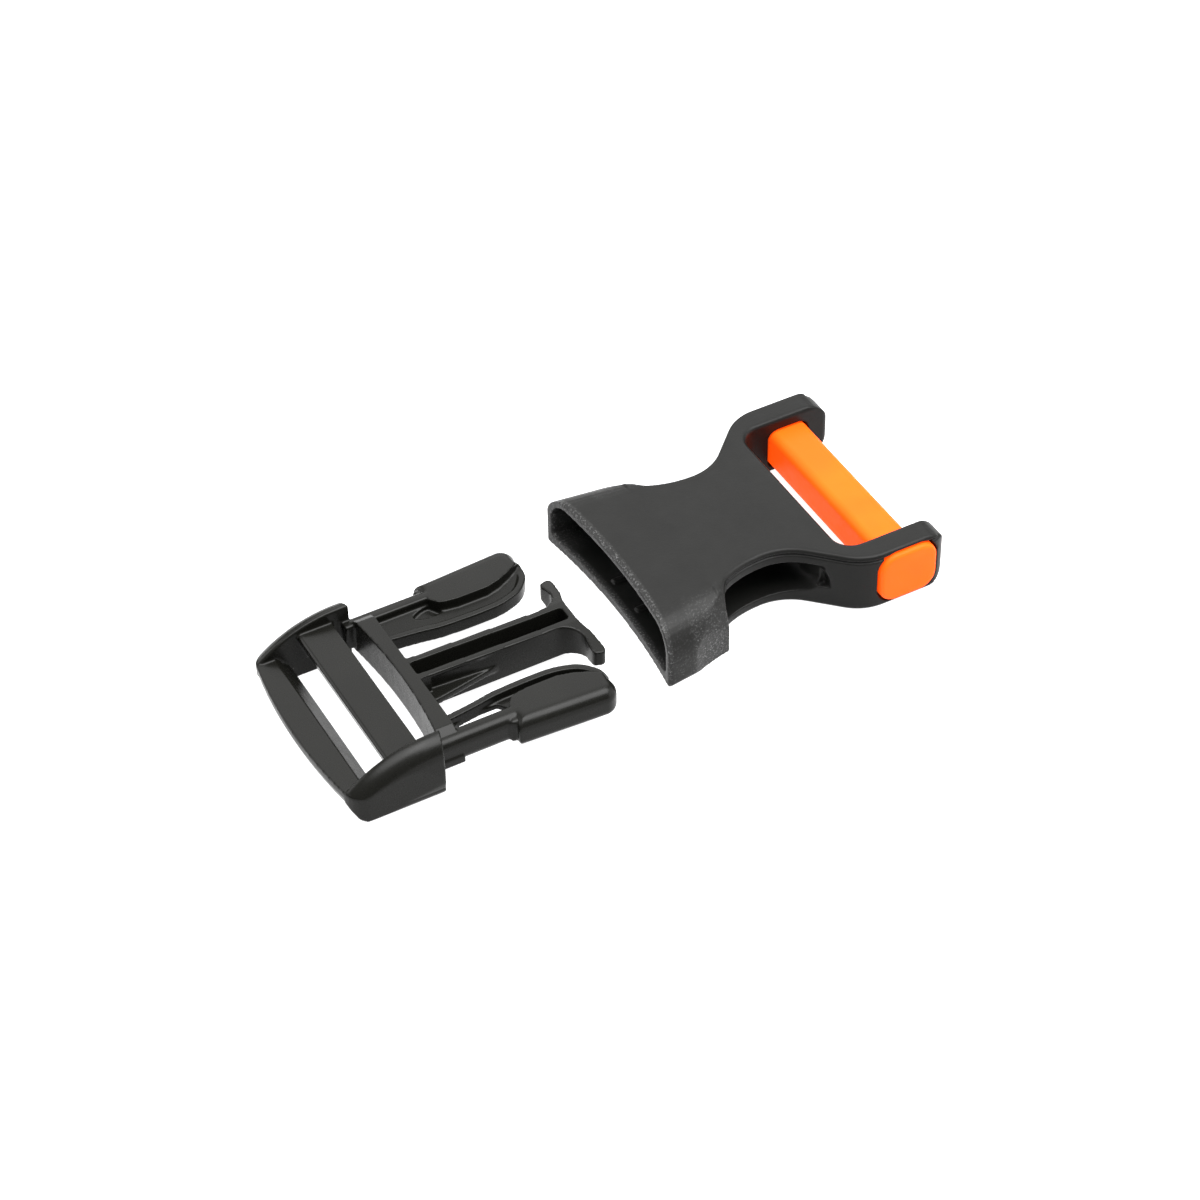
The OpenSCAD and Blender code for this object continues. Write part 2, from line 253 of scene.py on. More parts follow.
def block(name, low, high):
    """A box between two corners."""
    object_mode()
    low, high = Vector(low) * MM, Vector(high) * MM
    bpy.ops.mesh.primitive_cube_add(size=1, location=(low + high) / 2)
    piece = bpy.context.object
    piece.name = name
    piece.scale = high - low
    apply_place(piece)
    return piece


def cone(name, centre, low, high, low_radius, high_radius):
    """A round prism or cone about a vertical axis, finely divided."""
    object_mode()
    middle = (low + high) / 2
    bpy.ops.mesh.primitive_cone_add(
        vertices=240, radius1=low_radius * MM, radius2=high_radius * MM,
        depth=(high - low) * MM, location=Vector((*centre, middle)) * MM)
    piece = bpy.context.object
    piece.name = name
    apply_place(piece)
    return piece


def settle(piece, kind, **settings):
    """Adds a modifier, sets it and applies it."""
    activate(piece)
    bpy.ops.object.modifier_add(type=kind)
    modifier = piece.modifiers[-1]
    for key, value in settings.items():
        setattr(modifier, key, value)
    bpy.ops.object.modifier_apply(modifier=modifier.name)
    return piece


def combine(piece, tools, operation, keep=False):
    """Cuts, joins or crops a solid with others, which are used up unless they are kept."""
    for tool in tools:
        settle(piece, "BOOLEAN", operation=operation, solver="EXACT", object=tool)
        if not keep:
            activate(tool)
            bpy.ops.object.delete()
    return piece


def both_sides(piece):
    """Adds the mirror image across the half's own axis."""
    return settle(piece, "MIRROR", use_axis=(False, True, False), use_mirror_merge=False)


def turn_and_move(piece, place, *turns):
    """Turns a solid about the origin, turn by turn, then moves it."""
    matrix = Matrix.Translation(Vector(place) * MM)
    for degrees, axis in turns:
        matrix = matrix @ Matrix.Rotation(math.radians(degrees), 4, axis)
    piece.matrix_world = matrix
    apply_place(piece)
    return piece


def smooth_run(points, steps=4):
    """A smooth curve through a run of points, with some points between each two."""
    made = []
    for i in range(len(points) - 1):
        before, here, there, after = [Vector(points[min(max(i + k, 0), len(points) - 1)])
                                      for k in (-1, 0, 1, 2)]
        for step in range(steps):
            t = step / steps
            made.append(tuple(0.5 * (2 * here + t * (there - before)
                                     + t ** 2 * (2 * before - 5 * here + 4 * there - after)
                                     + t ** 3 * (3 * here - before - 3 * there + after))))
    return made + [points[-1]]


def beside(points, width):
    """The same run of points moved sideways, to the left of its way, last point first."""
    moved = []
    for i, point in enumerate(points):
        before = Vector(points[max(i - 1, 0)])
        after = Vector(points[min(i + 1, len(points) - 1)])
        along = (after - before).normalized()
        moved.append(tuple(Vector(point) + width * Vector((-along.y, along.x))))
    return list(reversed(moved))


def round_edges(piece, chosen, width, steps=3):
    """Bevels the edges whose two ends, in millimetres, pass a test."""
    activate(piece)
    mesh = piece.data
    bpy.ops.object.mode_set(mode="EDIT")
    bpy.ops.mesh.select_mode(type="EDGE")
    bpy.ops.mesh.select_all(action="DESELECT")
    bpy.ops.object.mode_set(mode="OBJECT")
    for edge in mesh.edges:
        ends = [mesh.vertices[v].co / MM for v in edge.vertices]
        edge.select = chosen(*ends)
    bpy.ops.object.mode_set(mode="EDIT")
    bpy.ops.mesh.bevel(offset=width * MM, segments=steps, affect="EDGES", clamp_overlap=False)
    object_mode()
    return piece


def mould(piece, cell, passes, keep):
    """Melts solids that run into each other into one skin with softened edges."""
    settle(piece, "REMESH", mode="VOXEL", voxel_size=cell * MM)
    settle(piece, "SMOOTH", factor=0.5, iterations=passes)
    settle(piece, "DECIMATE", ratio=keep)
    activate(piece)
    bpy.ops.object.shade_smooth()
    return piece


def join(piece, others):
    """Joins objects into one mesh."""
    activate(piece)
    for other in others:
        other.select_set(True)
    bpy.ops.object.join()
    return piece


def hand_over(piece, name, origin, body, node, material):
    """Puts a finished piece in its place and on its body, in place of its plain solid."""
    piece.name = name
    piece.data.name = name
    piece.location = origin
    apply_place(piece)
    piece.data.materials.clear()
    piece.data.materials.append(material)
    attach(piece, body)
    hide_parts(node)


def socket_origin():
    """Where the middle of the socket's mouth corners lies in the frame."""
    low, high = SOCKET_BOX
    return Vector((high[0] - SOCKET_LENGTH, (low[1] + high[1]) / 2, 0))


def plug_origin():
    """Where the middle of the plug's shoulders lies in the frame."""
    low, high = PLUG_BOX
    return Vector((low[0] + FRAME_LENGTH, (low[1] + high[1]) / 2, 0))


def node(tree, kind, inputs=None, **settings):
    """Adds a node with its settings, values and links."""
    made = tree.nodes.new(kind)
    for key, value in settings.items():
        setattr(made, key, value)
    for key, value in (inputs or {}).items():
        if isinstance(value, bpy.types.NodeSocket):
            tree.links.new(value, made.inputs[key])
        else:
            made.inputs[key].default_value = value
    return made


def new_material(name):
    """A material with only a shader and an output, and its tree."""
    material = bpy.data.materials.new(name)
    material.use_nodes = True
    tree = material.node_tree
    tree.nodes.clear()
    shader = node(tree, "ShaderNodeBsdfPrincipled")
    output = node(tree, "ShaderNodeOutputMaterial")
    tree.links.new(shader.outputs["BSDF"], output.inputs["Surface"])
    return material, tree, shader


def painted_glint_patch(tree, place):
    """Where pale glints are painted into the socket's colour as painted highlights: along the
    mouth's lip, and on the cheeks' facets, strongest low down and fading towards the waist."""
    lip_share = 0.9
    middle = socket_origin()
    rim = middle + Vector((RIM_HOLLOW - RIM_RADIUS, 0, 0)) * MM
    flat = node(tree, "ShaderNodeVectorMath", {0: place, 1: (1, 1, 0)}, operation="MULTIPLY")
    reach = node(tree, "ShaderNodeVectorMath", {0: flat.outputs["Vector"], 1: (rim.x, rim.y, 0)},
                 operation="DISTANCE")
    axes = node(tree, "ShaderNodeSeparateXYZ", {"Vector": place})
    aside = node(tree, "ShaderNodeMath", {0: axes.outputs["Y"], 1: middle.y},
                 operation="SUBTRACT")
    aside = node(tree, "ShaderNodeMath", {0: aside.outputs["Value"]}, operation="ABSOLUTE")
    reach, aside, height = reach.outputs["Value"], aside.outputs["Value"], axes.outputs["Z"]
    spans = []
    # What is measured, where the painted glints start and are full, and their least share
    for value, start, full, least in (
            # The lip, right along the rim
            (reach, RIM_RADIUS + 1.0, RIM_RADIUS + 0.3, 0.0),
            # The cheeks, outside the flat top
            (aside, 10.5, 14.0, 0.0),
            # Fading towards the waist
            (reach, RIM_RADIUS + 13.0, RIM_RADIUS + 9.0, 0.0),
            # Weaker ahead of the facets' front edge
            (reach, RIM_RADIUS + 3.6, RIM_RADIUS + 4.6, 0.3),
            # Strongest low down
            (height, 7.0, 2.5, 0.35)):
        spans.append(node(tree, "ShaderNodeMapRange", {
            "Value": value, "From Min": start * MM, "From Max": full * MM,
            "To Min": least}).outputs["Result"])
    cheek = spans[1]
    for span in spans[2:]:
        cheek = node(tree, "ShaderNodeMath", {0: cheek, 1: span},
                     operation="MULTIPLY").outputs["Value"]
    lip = node(tree, "ShaderNodeMath", {0: spans[0], 1: lip_share}, operation="MULTIPLY")
    return node(tree, "ShaderNodeMath", {0: lip.outputs["Value"], 1: cheek},
                operation="MAXIMUM").outputs["Value"]


def grained_acetal(name, code, grain, rough, depth, scuff, shine=0.12, glint_patch=None, glow=0.0):
    """Injection-moulded acetal from a spark-eroded mould: an even fine grain that breaks up the
    gloss, soft flow marks a few millimetres wide, and faint rubbed patches. Where a patch is given,
    pale specks are painted into the colour as painted glints of the grain's peaks, drawn wider than
    real glints so that they show. A little glow is painted light: an even emission that stands for
    the light that a pale plastic scatters inside."""
    flow_width = 9 * MM
    rub_width = 2.5 * MM
    speck_width = 0.3 * MM
    acetal_ior = 1.48
    material, tree, shader = new_material(name)
    place = node(tree, "ShaderNodeTexCoord").outputs["Object"]
    pits = node(tree, "ShaderNodeTexNoise", {
        "Vector": place, "Scale": 1 / (grain * 2), "Detail": 4.0, "Roughness": 0.65})
    flow = node(tree, "ShaderNodeTexNoise", {
        "Vector": place, "Scale": 1 / flow_width, "Detail": 3.0, "Distortion": 0.6})
    rub = node(tree, "ShaderNodeTexNoise", {
        "Vector": place, "Scale": 1 / rub_width, "Detail": 6.0, "Roughness": 0.7})
    shade = node(tree, "ShaderNodeMapRange", {
        "Value": flow.outputs["Fac"], "From Min": 0.3, "From Max": 0.7,
        "To Min": 0.9, "To Max": 1.12})
    base = node(tree, "ShaderNodeVectorMath", {
        0: linear(code)[:3], "Scale": shade.outputs["Result"]}, operation="SCALE")
    gloss = node(tree, "ShaderNodeMapRange", {
        "Value": rub.outputs["Fac"], "From Min": 0.35, "From Max": 0.7,
        "To Min": rough + scuff, "To Max": rough - scuff})
    bump = node(tree, "ShaderNodeBump", {
        "Height": pits.outputs["Fac"], "Strength": 1.0, "Distance": depth})
    shown = base.outputs["Vector"]
    if glint_patch:
        # Painted glints: pale specks added to the base colour where the patch allows
        peaks = node(tree, "ShaderNodeTexNoise", {
            "Vector": place, "Scale": 1 / speck_width, "Detail": 2.0, "Roughness": 0.8})
        painted_specks = node(tree, "ShaderNodeMapRange", {
            "Value": peaks.outputs["Fac"], "From Min": 0.53, "From Max": 0.75,
            "To Min": 0.012, "To Max": 0.12})
        lit = node(tree, "ShaderNodeMath", {
            0: painted_specks.outputs["Result"], 1: glint_patch(tree, place)}, operation="MULTIPLY")
        shown = node(tree, "ShaderNodeVectorMath", {
            0: shown, 1: lit.outputs["Value"]}, operation="ADD").outputs["Vector"]
    tree.links.new(shown, shader.inputs["Base Color"])
    shader.inputs["Emission Color"].default_value = linear(code)
    # Painted light: a glow above zero makes the part shine evenly, whatever the lamps do
    shader.inputs["Emission Strength"].default_value = glow
    tree.links.new(gloss.outputs["Result"], shader.inputs["Roughness"])
    tree.links.new(bump.outputs["Normal"], shader.inputs["Normal"])
    shader.inputs["IOR"].default_value = acetal_ior
    shader.inputs["Specular IOR Level"].default_value = shine
    return material


def upright_section(name, middle, size, radius, start, end):
    """A rounded rectangle seen from the side, run across the socket from one y to another."""
    half = Vector(size) / 2
    low, high = Vector(middle) - half, Vector(middle) + half
    return prism(name, rounded(low, high, radius, 8), "Y", start, end)


def bar_section(name, size, gap, start, end):
    """The strap bar's section, grown by a gap."""
    grown = (size.bar_length / MM + 2 * gap, size.bar_height / MM + 2 * gap)
    return upright_section(name, BAR_MIDDLE, grown, size.edge_radius / MM + gap, start, end)


def head_section(name, size, gap, start, end):
    """The strap bar head's section, grown by a gap."""
    grown = (size.head_length / MM + 2 * gap, size.head_height / MM + 2 * gap)
    return upright_section(name, HEAD_MIDDLE, grown, HEAD_CORNER + gap, start, end)


def beam(name, start, end):
    """A stretch of a latch arm's beam on the +y side, with an almost round outer half."""
    outer, inner = 1.35, 0.35
    section = (arc((12.4, 5.25), outer, 0, 90, 8) + arc((11.9, 6.25), inner, 90, 180, 3)
               + arc((12.15, 2.65), inner, 180, 270, 3) + arc((12.4, 3.65), outer, 270, 360, 8))
    return prism(name, section, "X", start, end)


class BUCKLE_OT_socket(bpy.types.Operator):
    """Model the socket half: mouth, cheeks, waist with its side windows, pocket and ears"""
    bl_idname = "buckle.socket"
    bl_label = "Socket"

    def execute(self, context):
        size = context.scene.buckle_socket
        bar = context.scene.buckle_bar
        top = size.body_height / MM
        end = size.body_length / MM
        roof = top - size.roof_thickness / MM
        floor = size.floor_thickness / MM
        mouth = size.mouth_width / MM / 2
        waist = size.waist_width / MM / 2
        ear = size.ear_width / MM / 2
        strap = size.strap_width / MM / 2
        shell = self.waist_and_ears(top, end, waist, ear, strap)
        cheeks = self.cheeks(top, mouth)
        bevel, throat, *windows = self.hollows(top, roof, floor, mouth, ear)
        shared = self.facets() + [throat]
        combine(cheeks, shared, "DIFFERENCE", keep=True)
        combine(cheeks, [bevel], "DIFFERENCE")
        combine(shell, shared + windows, "DIFFERENCE")
        combine(shell, self.bar_seat(bar, ear, strap), "DIFFERENCE")
        combine(shell, self.ear_ends(top, end), "DIFFERENCE")
        join(shell, [cheeks] + self.guides(roof, floor))
        mould(shell, cell=0.13, passes=4, keep=0.25)
        look = context.scene.buckle_finishes
        # The socket's colour carries painted glints along the mouth's lip and on the cheeks' facets
        material = grained_acetal("grained_dark_grey_acetal", look.socket_colour, look.grain,
                                  rough=0.4, depth=0.016 * MM, scuff=0.05, glint_patch=painted_glint_patch)
        hand_over(shell, "socket_shell", socket_origin(), "socket", "socket",
                  material)
        return {"FINISHED"}

    def waist_and_ears(self, top, end, waist, ear, strap):
        """The plate round the waist and the ears, with its top edge rounded over a groove."""
        narrowest = 18.6
        flare, bend = 8, 7
        ear_start = 32.75
        outer = 2.8
        inner = ear - strap - 2.9
        slot_front, slot_corner = 28.5, 2.7
        side = (smooth_run([(10.6, waist + 5.0), (10.8, waist + 3.8), (11.3, waist + 2.6),
                            (12.1, waist + 1.65), (13.3, waist + 1.0), (15.2, waist + 0.4),
                            (17.0, waist + 0.1), (narrowest, waist)])
                + arc((narrowest, waist + flare), flare, 271, 315, 12)
                + arc((ear_start, ear - bend), bend, 135, 90, 12)
                + arc((end - outer, ear - outer), outer, 90, 0, 10))
        half = ([(8.0, waist + 8.0), (10.1, waist + 8.0)] + side
                + arc((end - inner, strap + inner), inner, 0, -90, 5)
                + arc((slot_front + slot_corner, strap - slot_corner), slot_corner, 90, 180, 8))
        plate = prism("socket_shell", mirrored(half), "Z", 0, top)
        top_edge, foot_edge = 0.6, 0.5
        round_edges(plate, lambda a, b: min(a.z, b.z) > top - 0.01, top_edge)
        round_edges(plate, lambda a, b: max(a.z, b.z) < 0.01, foot_edge)
        # The groove starts behind the cheeks and stops before the ears' ends
        depth = 0.35
        path = side[12:-3]
        groove = prism("groove", list(reversed(beside(path, 1.0))) + beside(path, -depth),
                       "Z", top - 1.05, top - 0.65)
        # The plate stops inside the cheeks
        front = block("front", (7, -20, -1), (9.9, 20, 11))
        flank = block("flank", (7, waist + 4.9, -1), (11, 20, 11))
        return combine(plate, [both_sides(groove), front, both_sides(flank)], "DIFFERENCE")

    def cheeks(self, top, mouth):
        """The block round the mouth, with rounded shoulders."""
        front, knee = (0.7, mouth), (4.6, mouth - 0.5)
        shoulder_radius, foot_radius = 5.3, 0.6
        sweep = math.degrees(math.asin((mouth - 0.5) / RIM_RADIUS))
        half = (arc((RIM_HOLLOW - RIM_RADIUS, 0), RIM_RADIUS, 0, sweep, 16)
                + [(0.35, mouth - 0.25), (0.75, mouth - 0.02), (2.6, mouth - 0.2), knee,
                   (6.2, mouth - 1.15), (7.6, mouth - 1.6), (9.1, mouth - 2.0),
                   (CHEEK_BACK, mouth - 2.3), (CHEEK_BACK, 8)])
        cheeks = prism("cheeks", mirrored(half), "Z", 0, top)
        lean = math.degrees(math.atan2(knee[1] - front[1], knee[0] - front[0]))
        shoulder = prism("shoulder", outside_corner((0, top), (1, 1), shoulder_radius),
                         "X", -10, 20)
        foot = prism("foot", outside_corner((0, 0), (1, -1), foot_radius), "X", -10, 20)
        tools = [turn_and_move(tool, (*front, 0), (lean, "Z")) for tool in (shoulder, foot)]
        return combine(cheeks, [both_sides(tool) for tool in tools], "DIFFERENCE")

    def facets(self):
        """What the scooped thumb facets take away, in front of the waist."""
        made = []
        # A point on each facet's plane, the turn of its level edge in plan, and its slope
        for place, heading, slope in (((7.9, 14.0, 8.3), -25.8, -60),
                                      ((9.8, 12.5, 9.0), -33.8, -28.6),
                                      ((6.4, 15.1, 7.5), -21.5, -72)):
            facet = block("facet", (-30, -20, 0), (30, 30, 30))
            turn_and_move(facet, place, (heading, "Z"), (slope, "X"))
            combine(facet, [block("front", (-9, 1, -1), (12.4, 30, 30))], "INTERSECT")
            made.append(both_sides(facet))
        return made

    def hollows(self, top, roof, floor, mouth, ear):
        """The bevel along the mouth's rim, the throat with its lead-in, and the side windows."""
        wall = 1.2
        lip = 1.2
        shoulder = 4.8
        inner = mouth - wall
        bevel_fall, bevel_run = 0.4, 2.0
        rim_bevel = cone("rim_bevel", (RIM_HOLLOW - RIM_RADIUS, 0), top - bevel_fall,
                         top - bevel_fall + bevel_run, RIM_RADIUS, RIM_RADIUS + bevel_run)
        plan = [(-3, inner), (0, inner), (4.8, mouth - 1.8), (10.8, mouth - 3.6)]
        throat = prism("throat", mirrored(plan), "Z", floor - 2, top + 2)
        bore = ([(inner - 1.0, floor)] + arc((inner - 1.0, floor + 1.0), 1.0, 270, 360, 6)
                + arc((mouth - shoulder, top - shoulder), shoulder - lip, 5, 90, 10))
        bore += [(-y, z) for y, z in reversed(bore)]
        rise = [(-4, -2), (12, -2), (12, roof), (5.5, roof), (2.6, top - lip), (1.6, top + 1),
                (-4, top + 1)]
        combine(throat, [prism("bore", bore, "X", -5, 12), prism("rise", rise, "Y", -20, 20)],
                "INTERSECT")
        half = ([(CHEEK_BACK, mouth - 3.6), (CHEEK_BACK, 30), (26.1, 30)]
                + smooth_run([(26.1, ear - 2.9), (25.9, 12.6), (25.6, 11.0), (25.3, 9.7),
                              (25.2, 8.6), (25.5, 7.6), (26.1, 6.9)]) + [(26.9, 6.6)])
        window = prism("window", mirrored(half), "Z", floor, roof)
        sill = prism("sill", [(17.0, floor - 1)] + smooth_run([
            (18.0, floor - 0.1), (21.0, floor + 0.15), (23.6, floor + 0.6), (25.0, floor + 1.5),
            (25.8, floor + 3.2), (26.2, roof + 0.5)]) + [(28, roof + 0.5), (28, floor - 1)],
            "Y", -20, 20)
        combine(window, [sill], "DIFFERENCE")
        notch = prism("notch", [(25.3, floor + 1.7), (26.6, floor + 1.9), (26.5, 4.6), (26.1, 5.9),
                                (25.3, 5.9)], "Y", 12.3, 14.4)
        return [rim_bevel, throat, window, both_sides(notch)]

    def bar_seat(self, bar, ear, strap):
        """The hole through the near ear, the pocket in the far one, and the head's seat."""
        hole = bar_section("hole", bar, BAR_GAP, -ear - 2, strap + POCKET_DEPTH + BAR_GAP)
        seat = head_section("seat", bar, BAR_GAP, -ear - 2, -ear + HEAD_DEPTH + BAR_GAP)
        return [hole, seat]

    def ear_ends(self, top, end):
        """What rounding the ears' rear ends takes away, seen from the side."""
        top_radius, foot_radius = 3.9, 4.0
        return [prism("end_top", outside_corner((end, top), (1, 1), top_radius), "Y", -20, 20),
                prism("end_foot", outside_corner((end, 0), (1, -1), foot_radius), "Y", -20, 20)]

    def guides(self, roof, floor):
        """Low ridges that the tongue slides between, on the floor and under the roof."""
        width, rise, root = 0.8, 0.35, 0.5
        front, back = 3, 22
        made = []
        for side in (-1, 1):
            for low, high, out in ((floor - root, floor + rise, 2.8),
                                   (roof - rise, roof + root, 3.0)):
                near, far = sorted((side * out, side * (out + width)))
                made.append(block("guide", (front, near, low), (back, far, high)))
        return made


class BUCKLE_OT_strap_bar(bpy.types.Operator):
    """Model the slide-in strap bar with its square head"""
    bl_idname = "buckle.strap_bar"
    bl_label = "Strap Bar"

    def execute(self, context):
        size = context.scene.buckle_bar
        socket = context.scene.buckle_socket
        ear = socket.ear_width / MM / 2
        strap = socket.strap_width / MM / 2
        proud = 0.5
        tip = -ear - proud
        edge = 0.5
        bar = bar_section("strap_bar", size, 0, -ear, strap + POCKET_DEPTH)
        round_edges(bar, lambda a, b: min(a.y, b.y) > strap, edge)
        head = head_section("head", size, 0, tip, -ear + HEAD_DEPTH)
        round_edges(head, lambda a, b: max(a.y, b.y) < tip + 0.1, edge, 4)
        combine(bar, [head], "UNION")
        mould(bar, cell=0.14, passes=3, keep=0.3)
        look = context.scene.buckle_finishes
        # The strap bar gets a painted glow that lifts its shaded faces
        material = grained_acetal("satin_orange_acetal", look.bar_colour, look.grain,
                                  rough=0.46, depth=0.006 * MM, scuff=0.06, shine=0.07, glow=0.85)
        hand_over(bar, "strap_bar_orange", socket_origin(), "strap_bar", "strap_bar",
                  material)
        return {"FINISHED"}


class BUCKLE_OT_plug(bpy.types.Operator):
    """Model the plug's ladder frame and its guide tongue"""
    bl_idname = "buckle.plug"
    bl_label = "Plug"

    def execute(self, context):
        size = context.scene.buckle_plug
        top = context.scene.buckle_socket.body_height / MM
        outline = self.outline(size)
        ladder = self.rails(size, outline, top)
        join(ladder, self.bars(size, outline) + self.tongue(size))
        mould(ladder, cell=0.15, passes=4, keep=0.3)
        look = context.scene.buckle_finishes
        material = grained_acetal("satin_black_acetal", look.plug_colour, look.grain,
                                  rough=0.26, depth=0.003 * MM, scuff=0.05)
        hand_over(ladder, "plug_frame", plug_origin(), "plug", "plug", material)
        return {"FINISHED"}

    def outline(self, size):
        """Plan of the frame, +y side, with its shoulders along the curve of the mouth's rim."""
        slot = size.slot_width / MM / 2
        shoulder = size.shoulder_width / MM / 2
        back = -size.frame_length / MM
        front_radius, front_reach = 57.25, 1.7
        corner = 3
        rear_half = 12.5
        turn = [math.degrees(math.asin(y / front_radius)) for y in (slot, shoulder)]
        lean = math.degrees(math.asin(rear_half / REAR_RADIUS))
        return (arc((front_reach - front_radius, 0), front_radius, *turn, 3)
                + [(-9, shoulder - 0.4)]
                + arc((back + 4, shoulder - 3.5), corner, 90, 165, 6)
                + arc((REAR_RADIUS + back, 0), REAR_RADIUS, 180 - lean, 180, 8))

    def rails(self, size, outline, top):
        """The two rails, whose rounded tops fall in an arc from the shoulders to the end bar."""
        slot = size.slot_width / MM / 2
        shoulder = size.shoulder_width / MM / 2
        back = -size.frame_length / MM
        rail = prism("plug_frame", mirrored(outline), "Z", 0, top)
        room = block("room", (-30, slot, -1), (30, 30, 30))
        combine(rail, [room], "INTERSECT")
        foot_radius = 1.1
        flank = ([(shoulder, RAIL_BELLY), (shoulder - 0.05, 2.2), (shoulder - 0.2, 1.5)]
                 + arc((shoulder - 1.35, foot_radius), foot_radius, 14, -90, 8)
                 + [(shoulder - 1.35, -1), (shoulder + 2, -1), (shoulder + 2, RAIL_BELLY)])
        foot = prism("foot", flank, "X", -30, 5)
        # The rails' rear ends are cut back at the foot, and lean forward above the end bar
        ends = prism("ends", [(back + 3.4, -1), (back + 3.4, 0), (back + 2.2, 0.7),
                              (back + 1.5, 1.9), (back + 0.9, 3.3), (back - 0.4, 4.6),
                              (back - 3, 4.6), (back - 3, -1)], "Y", 0, 30)
        tail = prism("tail", [(back - 3, 4.7), (back - 1, 4.7), (back + 0.4, 5.3),
                              (back + 1.6, top), (back + 1.6, top + 3), (back - 3, top + 3)],
                     "Y", 0, 30)
        combine(rail, [foot, ends, tail, self.crown_room(slot, shoulder, top)], "DIFFERENCE")
        return both_sides(rail)

    def crown_room(self, slot, shoulder, top):
        """The room above a rail's rounded crown, swept along the fall of the rail."""
        fall = 18.6
        start = -1.0
        dome = 3.0
        trim = 0.15
        high = top - trim
        crown = ([(shoulder + 2, RAIL_BELLY), (shoulder + 0.02, RAIL_BELLY),
                  (shoulder - 0.05, 4.4)]
                 + arc((shoulder - dome - trim, high - dome), dome, 8, 82, 14)
                 + [(slot + 0.1, high - 0.12), (slot - 0.1, high - 0.45), (slot - 1, high - 0.45),
                    (slot - 1, top + 4), (shoulder + 2, top + 4)])
        room = prism("crown", crown, "X", start, 5)
        activate(room)
        bpy.ops.object.mode_set(mode="EDIT")
        bpy.ops.mesh.select_mode(type="FACE")
        bpy.ops.mesh.select_all(action="DESELECT")
        bpy.ops.object.mode_set(mode="OBJECT")
        for face in room.data.polygons:
            face.select = face.normal.x < -0.9
        bpy.ops.object.mode_set(mode="EDIT")
        centre = Vector((start, 0, top - fall)) * MM
        bpy.ops.mesh.spin(steps=24, angle=math.radians(45), center=centre, axis=(0, 1, 0))
        bpy.ops.mesh.select_all(action="SELECT")
        bpy.ops.mesh.remove_doubles(threshold=0.002 * MM)
        bpy.ops.mesh.normals_make_consistent(inside=False)
        object_mode()
        return room

    def bars(self, size, outline):
        """The end bar with its ramp, the middle bar and the cross bar."""
        slot = size.slot_width / MM / 2 + 1
        back = -size.frame_length / MM
        ramp = [(back - 1, 2.4), (back + 0.9, 1.9), (-8.4, 1.9), (-10.7, 4.5), (back - 1, 4.5)]
        end_bar = combine(prism("end_bar", ramp, "Y", -slot, slot),
                          [prism("plan", mirrored(outline), "Z", 0, 9)], "INTERSECT")
        # The end bar's rear face leans outwards from its foot
        under = cone("under", (REAR_RADIUS + back - 0.15, 0), 1.0, 5.0,
                     REAR_RADIUS - 1.01, REAR_RADIUS + 0.42)
        combine(end_bar, [under], "INTERSECT")
        middle = [(-3.0, 3.0), (-2.4, 4.0), (-2.4, 7.2), (-7.0, 7.2), (-7.3, 6.9), (-6.05, 3.0)]
        middle_bar = prism("middle_bar", middle, "Y", -slot, slot)
        cross = prism("cross_bar", mirrored([(-0.6, 13.2), (3.0, 13.2)]), "Z", 1.7, 7.2)
        ends = prism("ends", [(11.2, 7.25), (13.0, 6.3), (14, 6.3), (14, 9), (11.2, 9)], "X", -3, 6)
        combine(cross, [both_sides(ends)], "DIFFERENCE")
        # The cross bar's rear face is hollow in plan
        radius, reach = 80.0, 1.15
        combine(cross, [cone("hollow", (reach - radius, 0), 0, 12, radius, radius)], "DIFFERENCE")
        stub = both_sides(beam("stub", -1.0, 3.3))
        foot = both_sides(block("foot", (-0.5, 12.8, 2.5), (3.2, 14.0, 3.7)))
        return [end_bar, middle_bar, cross, stub, foot]

    def tongue(self, size):
        """The guide tongue with its channel, its root gussets and its T head."""
        front = size.tongue_length / MM
        half = size.tongue_width / MM / 2
        tee = size.tee_width / MM / 2
        side = [(2.1, 1.5), (front - 1, 1.6), (front - 1, 6.6), (4.1, 7.2), (2.1, 7.2)]
        tongue = prism("tongue", side, "Y", -half, half)
        recess = prism("recess", [(4.5, half - 0.5), (14, half + 0.02), (14, 5), (4.5, 5)],
                       "Z", 4.3, 6.5)
        gusset = prism("gusset", mirrored([(2.1, 3.9), (4.7, 3.85), (14.7, half - 0.1)]),
                       "Z", 3.3, 4.3)
        edge = ([(front - 6, half - 0.2)] + arc((front - 4.6, half + 3), 3, 270, 360, 10)
                + [(front - 1.8, tee - 1.1)] + arc((front - 1.2, tee - 0.8), 0.6, 180, 90, 4)
                + arc((front - 0.8, tee - 0.8), 0.8, 90, 0, 5)
                + [(front - 0.4, half + 2), (front - 0.9, half + 0.6), (front - 1.2, half - 0.8)])
        head = prism("head", mirrored(edge), "Z", 1.8, 6.75)
        taper = [(half, 1.8), (tee + 0.1, 3.3), (tee + 0.1, 5.5), (half, 6.75)]
        taper += [(-y, z) for y, z in reversed(taper)]
        combine(head, [prism("taper", taper, "X", 0, 40)], "INTERSECT")
        combine(tongue, [head], "UNION")
        channel = prism("channel", rounded((2.9, -1.15), (front - 1.9, 1.15), 0.5), "Z", 3.2, 12)
        combine(tongue, [channel, both_sides(recess)], "DIFFERENCE")
        return [tongue, gusset]


